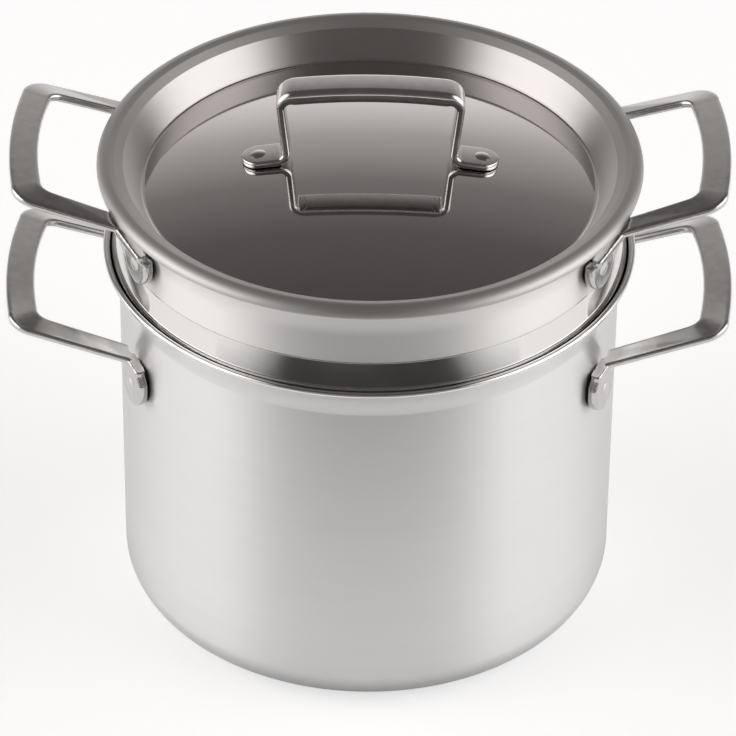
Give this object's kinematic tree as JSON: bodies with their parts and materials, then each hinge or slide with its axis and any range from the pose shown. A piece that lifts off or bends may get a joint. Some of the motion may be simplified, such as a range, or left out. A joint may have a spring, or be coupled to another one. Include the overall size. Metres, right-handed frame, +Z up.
{
  "type": "pasta pot",
  "caption": "Steel pasta pot with a lift-out perforated insert, a recessed lid with a shallow dome and bridge handle, and riveted loop handles.",
  "frame": {"origin": "centre of the pot's flat base, on the plane it stands on", "axes": "+X through the right-hand loop handles, +Y away from the front of the pot, +Z up along the pot's axis"},
  "size_m": [0.2982, 0.2212, 0.2405],
  "materials": {
    "pot_steel": "fine satin, brushed round the axis",
    "insert_steel": "satin collar over a polished neck and basket",
    "lid_steel": "mirror dome inside a satin flange",
    "cast_steel": "cast, satin polished",
    "rivet_steel": "polished"
  },
  "bodies": {
    "pot": {"pot_body": "pot_steel", "pot_handle_left": "cast_steel", "pot_handle_right": "cast_steel", "pot_rivet_left_front": "rivet_steel", "pot_rivet_left_back": "rivet_steel", "pot_rivet_right_front": "rivet_steel", "pot_rivet_right_back": "rivet_steel"},
    "insert": {"insert_basket": "insert_steel", "insert_handle_left": "cast_steel", "insert_handle_right": "cast_steel", "insert_rivet_left_front": "rivet_steel", "insert_rivet_left_back": "rivet_steel", "insert_rivet_right_front": "rivet_steel", "insert_rivet_right_back": "rivet_steel"},
    "lid": {"lid_shell": "lid_steel", "lid_handle": "cast_steel", "lid_rivet_left": "rivet_steel", "lid_rivet_right": "rivet_steel"}
  },
  "joints": [
    {"name": "insert_lift", "type": "slide", "parent": "pot", "child": "insert", "axis": [0, 0, 1], "range_m": [0, 0.17]},
    {"name": "lid_lift", "type": "slide", "parent": "insert", "child": "lid", "axis": [0, 0, 1], "range_m": [0, 0.1]}
  ]
}
